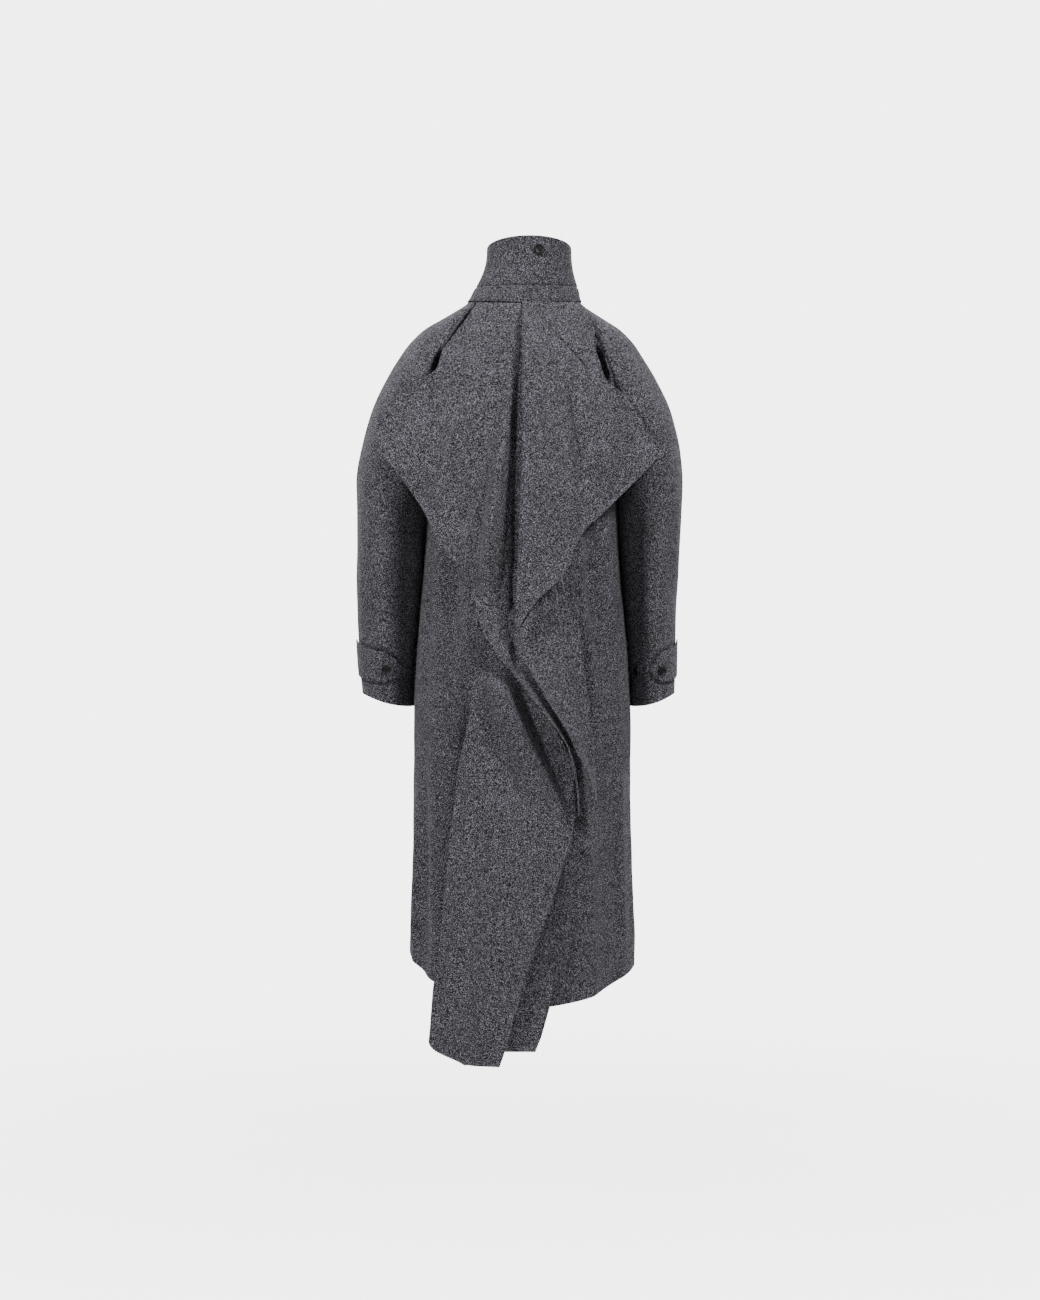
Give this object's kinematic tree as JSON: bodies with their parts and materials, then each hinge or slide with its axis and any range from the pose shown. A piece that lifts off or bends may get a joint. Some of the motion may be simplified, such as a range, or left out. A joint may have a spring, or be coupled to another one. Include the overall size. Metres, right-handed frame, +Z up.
{
  "type": "oversized coat",
  "caption": "Long oversized raglan coat of grey melange wool with a funnel collar, buttoned cuff tabs and a draped back that falls into a long tail.",
  "frame": {"origin": "middle of the neck seam, where the wearer's neck and shoulders carry the coat", "axes": "+Z up along the wearer's spine, -Y out of the coat's front, +Y out of its draped back, +X towards the wearer's left"},
  "size_m": [0.556, 0.4029, 1.3732],
  "materials": {
    "wool": "napped melange coating, matte",
    "collar_wool": "napped melange coating, matte",
    "button": "satin, horn-like"
  },
  "bodies": {
    "root": {"back_left": "wool", "back_right": "wool", "front_left": "wool", "front_right": "wool", "sleeve_left_back": "wool", "sleeve_left_front": "wool", "sleeve_right_back": "wool", "sleeve_right_front": "wool", "cape_left": "wool", "cape_right": "wool", "fall_flap": "wool", "tail_outer": "wool", "tail_under": "wool", "cuff_tab_left": "wool", "cuff_tab_right": "wool", "collar": "collar_wool", "collar_stand": "collar_wool", "button_collar": "button", "button_cuff_left_tab": "button", "button_cuff_left_inner": "button", "button_cuff_right_tab": "button", "button_cuff_right_inner": "button", "button_front_1": "button", "button_front_2": "button", "button_front_3": "button", "button_front_4": "button", "button_front_5": "button"}
  },
  "joints": []
}
